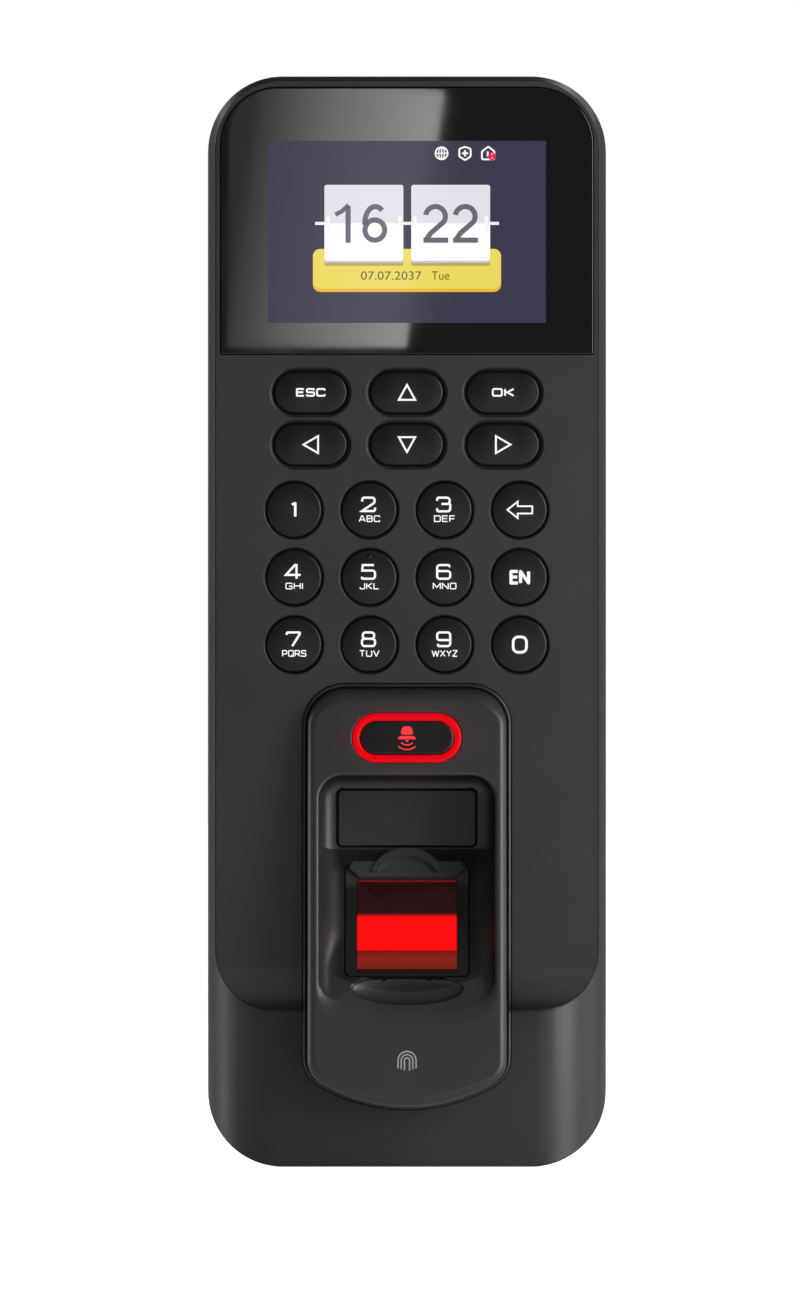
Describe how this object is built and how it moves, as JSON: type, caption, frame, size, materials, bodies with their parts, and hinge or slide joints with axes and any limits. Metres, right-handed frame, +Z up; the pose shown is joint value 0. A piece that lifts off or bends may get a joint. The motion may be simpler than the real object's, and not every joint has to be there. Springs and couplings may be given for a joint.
{
  "type": "fingerprint access terminal",
  "caption": "Upright wall terminal with a glossy display, backlit keys and a raised island holding a doorbell button and a tilted fingerprint window in a finger scoop.",
  "frame": {"origin": "centre of the four wall screws, on the wall", "axes": "+X to the right seen from the front, +Y into the wall, front towards -Y, +Z up"},
  "size_m": [0.0658, 0.0375, 0.18],
  "materials": {
    "casing_plastic": "fine moulded texture",
    "island_plastic": "fine moulded texture",
    "collar_plastic": "satin",
    "key_plastic": "satin black",
    "window_gloss": "gloss black",
    "lcd_picture": "display panel",
    "seal_rubber": "soft",
    "silicone": "translucent silicone",
    "plate_steel": "zinc plated",
    "steel_parts": "plated",
    "screw_steel": "zinc plated",
    "circuit_board": "solder mask",
    "copper_coil": "lacquered copper",
    "ribbon": "polyimide film",
    "black_parts": "moulded",
    "relay_blue": "moulded",
    "connector_ivory": "moulded",
    "led_white": "lens",
    "led_red": "lens",
    "red_lens": "lit red lens",
    "sensor_glass": "clear, lit red",
    "prism_glass": "polished"
  },
  "bodies": {
    "terminal": {"rear_casing": "casing_plastic", "front_cover": "casing_plastic", "casing_seal": "seal_rubber", "wall_plate": "plate_steel", "display_window": "window_gloss", "island_bezel": "island_plastic", "island_collar": "collar_plastic", "pocket_plate": "island_plastic", "keypad_mat": "silicone", "keypad_board": "circuit_board", "key_lights": "led_white", "card_antenna": "copper_coil", "bell_light_ring": "red_lens", "bell_switch": "steel_parts", "bell_board": "circuit_board", "lcd_glass": "lcd_picture", "lcd_backlight": "steel_parts", "lcd_ribbon": "ribbon", "main_board": "circuit_board", "board_chips": "black_parts", "door_relay": "relay_blue", "backup_cell": "steel_parts", "buzzer": "black_parts", "network_socket": "black_parts", "terminal_sockets": "connector_ivory", "board_link": "connector_ivory", "tamper_switch": "steel_parts", "sensor_frame": "island_plastic", "sensor_glass": "sensor_glass", "sensor_prism": "prism_glass", "sensor_holder": "black_parts", "sensor_board": "circuit_board", "sensor_camera": "black_parts", "sensor_lights": "led_red", "casing_screws": "screw_steel", "board_screws_set": "screw_steel", "sensor_screws": "screw_steel", "locking_screw": "screw_steel"},
    "key_esc_part": {"key_esc": "key_plastic"},
    "key_up_part": {"key_up": "key_plastic"},
    "key_ok_part": {"key_ok": "key_plastic"},
    "key_left_part": {"key_left": "key_plastic"},
    "key_down_part": {"key_down": "key_plastic"},
    "key_right_part": {"key_right": "key_plastic"},
    "key_1_part": {"key_1": "key_plastic"},
    "key_2_part": {"key_2": "key_plastic"},
    "key_3_part": {"key_3": "key_plastic"},
    "key_back_part": {"key_back": "key_plastic"},
    "key_4_part": {"key_4": "key_plastic"},
    "key_5_part": {"key_5": "key_plastic"},
    "key_6_part": {"key_6": "key_plastic"},
    "key_language_part": {"key_language": "key_plastic"},
    "key_7_part": {"key_7": "key_plastic"},
    "key_8_part": {"key_8": "key_plastic"},
    "key_9_part": {"key_9": "key_plastic"},
    "key_0_part": {"key_0": "key_plastic"},
    "bell_button_part": {"bell_button": "key_plastic", "bell_switch_plunger": "black_parts"},
    "tamper_plunger_part": {"tamper_plunger": "connector_ivory"}
  },
  "joints": [
    {"name": "key_esc_press", "type": "slide", "parent": "terminal", "child": "key_esc_part", "axis": [0, 1, 0], "range_m": [0, 0.001], "stiffness_N_per_m": 600, "springref_m": -0.0006, "deforming": ["keypad_mat"]},
    {"name": "key_up_press", "type": "slide", "parent": "terminal", "child": "key_up_part", "axis": [0, 1, 0], "range_m": [0, 0.001], "stiffness_N_per_m": 600, "springref_m": -0.0006, "deforming": ["keypad_mat"]},
    {"name": "key_ok_press", "type": "slide", "parent": "terminal", "child": "key_ok_part", "axis": [0, 1, 0], "range_m": [0, 0.001], "stiffness_N_per_m": 600, "springref_m": -0.0006, "deforming": ["keypad_mat"]},
    {"name": "key_left_press", "type": "slide", "parent": "terminal", "child": "key_left_part", "axis": [0, 1, 0], "range_m": [0, 0.001], "stiffness_N_per_m": 600, "springref_m": -0.0006, "deforming": ["keypad_mat"]},
    {"name": "key_down_press", "type": "slide", "parent": "terminal", "child": "key_down_part", "axis": [0, 1, 0], "range_m": [0, 0.001], "stiffness_N_per_m": 600, "springref_m": -0.0006, "deforming": ["keypad_mat"]},
    {"name": "key_right_press", "type": "slide", "parent": "terminal", "child": "key_right_part", "axis": [0, 1, 0], "range_m": [0, 0.001], "stiffness_N_per_m": 600, "springref_m": -0.0006, "deforming": ["keypad_mat"]},
    {"name": "key_1_press", "type": "slide", "parent": "terminal", "child": "key_1_part", "axis": [0, 1, 0], "range_m": [0, 0.001], "stiffness_N_per_m": 600, "springref_m": -0.0006, "deforming": ["keypad_mat"]},
    {"name": "key_2_press", "type": "slide", "parent": "terminal", "child": "key_2_part", "axis": [0, 1, 0], "range_m": [0, 0.001], "stiffness_N_per_m": 600, "springref_m": -0.0006, "deforming": ["keypad_mat"]},
    {"name": "key_3_press", "type": "slide", "parent": "terminal", "child": "key_3_part", "axis": [0, 1, 0], "range_m": [0, 0.001], "stiffness_N_per_m": 600, "springref_m": -0.0006, "deforming": ["keypad_mat"]},
    {"name": "key_back_press", "type": "slide", "parent": "terminal", "child": "key_back_part", "axis": [0, 1, 0], "range_m": [0, 0.001], "stiffness_N_per_m": 600, "springref_m": -0.0006, "deforming": ["keypad_mat"]},
    {"name": "key_4_press", "type": "slide", "parent": "terminal", "child": "key_4_part", "axis": [0, 1, 0], "range_m": [0, 0.001], "stiffness_N_per_m": 600, "springref_m": -0.0006, "deforming": ["keypad_mat"]},
    {"name": "key_5_press", "type": "slide", "parent": "terminal", "child": "key_5_part", "axis": [0, 1, 0], "range_m": [0, 0.001], "stiffness_N_per_m": 600, "springref_m": -0.0006, "deforming": ["keypad_mat"]},
    {"name": "key_6_press", "type": "slide", "parent": "terminal", "child": "key_6_part", "axis": [0, 1, 0], "range_m": [0, 0.001], "stiffness_N_per_m": 600, "springref_m": -0.0006, "deforming": ["keypad_mat"]},
    {"name": "key_language_press", "type": "slide", "parent": "terminal", "child": "key_language_part", "axis": [0, 1, 0], "range_m": [0, 0.001], "stiffness_N_per_m": 600, "springref_m": -0.0006, "deforming": ["keypad_mat"]},
    {"name": "key_7_press", "type": "slide", "parent": "terminal", "child": "key_7_part", "axis": [0, 1, 0], "range_m": [0, 0.001], "stiffness_N_per_m": 600, "springref_m": -0.0006, "deforming": ["keypad_mat"]},
    {"name": "key_8_press", "type": "slide", "parent": "terminal", "child": "key_8_part", "axis": [0, 1, 0], "range_m": [0, 0.001], "stiffness_N_per_m": 600, "springref_m": -0.0006, "deforming": ["keypad_mat"]},
    {"name": "key_9_press", "type": "slide", "parent": "terminal", "child": "key_9_part", "axis": [0, 1, 0], "range_m": [0, 0.001], "stiffness_N_per_m": 600, "springref_m": -0.0006, "deforming": ["keypad_mat"]},
    {"name": "key_0_press", "type": "slide", "parent": "terminal", "child": "key_0_part", "axis": [0, 1, 0], "range_m": [0, 0.001], "stiffness_N_per_m": 600, "springref_m": -0.0006, "deforming": ["keypad_mat"]},
    {"name": "bell_button_press", "type": "slide", "parent": "terminal", "child": "bell_button_part", "axis": [0, 0.9874, -0.158], "range_m": [0, 0.001], "stiffness_N_per_m": 700, "springref_m": -0.0006},
    {"name": "tamper_plunger_press", "type": "slide", "parent": "terminal", "child": "tamper_plunger_part", "axis": [0, -1, 0], "range_m": [0, 0.0012], "stiffness_N_per_m": 400, "springref_m": -0.0006}
  ]
}
